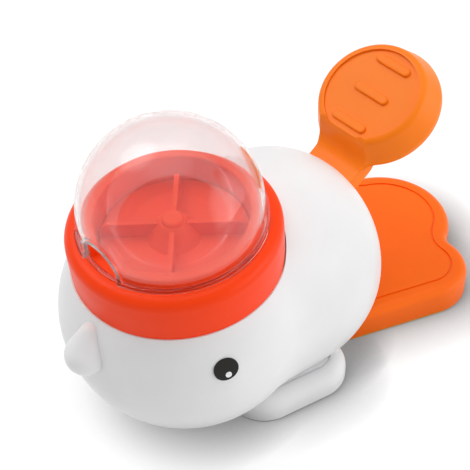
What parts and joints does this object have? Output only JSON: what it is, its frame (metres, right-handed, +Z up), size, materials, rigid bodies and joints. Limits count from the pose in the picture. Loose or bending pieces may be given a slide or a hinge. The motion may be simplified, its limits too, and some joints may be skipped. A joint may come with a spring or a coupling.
{
  "type": "push button treat dispenser",
  "caption": "Duck-shaped pet treat dispenser: a tail pedal turns a vaned table under a clear dome and throws treats out of an arched exit",
  "frame": {"origin": "centre of the whole object seen from above, on the floor it stands on", "axes": "X from the beak (-X) to the tail (+X), Y across, Z up; symmetric about the XZ plane in its outer form"},
  "size_m": [0.2686, 0.132, 0.1731],
  "materials": {
    "shell_white": "satin gloss",
    "base_white": "moulded matte",
    "pad_grey": "ribbed matte",
    "eye_black": "gloss",
    "eye_white": "gloss",
    "sole_grey": "matte",
    "tail_orange": "satin gloss",
    "sole_yellow": "matte",
    "collar_red": "satin gloss",
    "bowl_coral": "satin gloss",
    "dome_clear": "clear polished",
    "table_coral": "satin",
    "steel": "turned",
    "spring_steel": "drawn wire",
    "gear_natural": "natural",
    "pedal_orange": "satin gloss",
    "lever_orange": "moulded matte"
  },
  "bodies": {
    "housing": {"body_shell": "shell_white", "base_cover": "base_white", "base_pad": "pad_grey", "beak": "shell_white", "eye_near": "eye_black", "eye_far": "eye_black", "eye_glint_near": "eye_white", "eye_glint_far": "eye_white", "wing_near": "shell_white", "wing_far": "shell_white", "wing_sole_near": "sole_grey", "wing_sole_far": "sole_grey", "tail_plate": "tail_orange", "tail_sole": "sole_yellow", "hopper_collar": "collar_red", "hopper_bowl": "bowl_coral", "upper_bush": "gear_natural", "lower_bush": "gear_natural", "rack_keeper": "base_white", "gear_tray": "base_white", "pedal_axle": "steel", "axle_clips": "spring_steel", "return_spring": "spring_steel", "base_screws": "steel", "collar_screws": "steel"},
    "pedal_arm": {"pedal": "pedal_orange", "pedal_lever": "lever_orange", "lever_screws": "steel"},
    "rack": {"drive_rack": "gear_natural"},
    "pinion": {"drive_pinion": "gear_natural", "ratchet_pawls": "gear_natural"},
    "table": {"turntable": "table_coral", "turntable_shaft": "steel", "turntable_cap": "table_coral", "ratchet_wheel": "gear_natural"},
    "dome": {"dome_cover": "dome_clear"}
  },
  "joints": [
    {"name": "pedal_press", "type": "hinge", "parent": "housing", "child": "pedal_arm", "pos_m": [0.0163, 0, 0.0537], "axis": [0, 1, 0], "range_deg": [0, 27], "stiffness_Nm_per_rad": 0.6, "springref_deg": -20.05, "deforming": ["return_spring"]},
    {"name": "rack_slide", "type": "slide", "parent": "housing", "child": "rack", "axis": [-0.9951, 0, -0.0993], "range_m": [0, 0.01133]},
    {"name": "pinion_turn", "type": "hinge", "parent": "housing", "child": "pinion", "pos_m": [-0.0587, 0, 0.056], "axis": [-0.0993, 0, 0.9951], "range_deg": [0, 72.01]},
    {"name": "table_turn", "type": "hinge", "parent": "housing", "child": "table", "pos_m": [-0.0587, 0, 0.056], "axis": [-0.0993, 0, 0.9951], "range_deg": [0, 72.01]},
    {"name": "dome_lift", "type": "slide", "parent": "housing", "child": "dome", "axis": [-0.0993, 0, 0.9951], "range_m": [0, 0.06]}
  ],
  "couplings": [
    {"joint": "rack_slide", "follows": "pedal_press", "m_per_rad": 0.024},
    {"joint": "pinion_turn", "follows": "pedal_press", "ratio": 2.6667},
    {"joint": "table_turn", "follows": "pedal_press", "ratio": 2.6667}
  ]
}
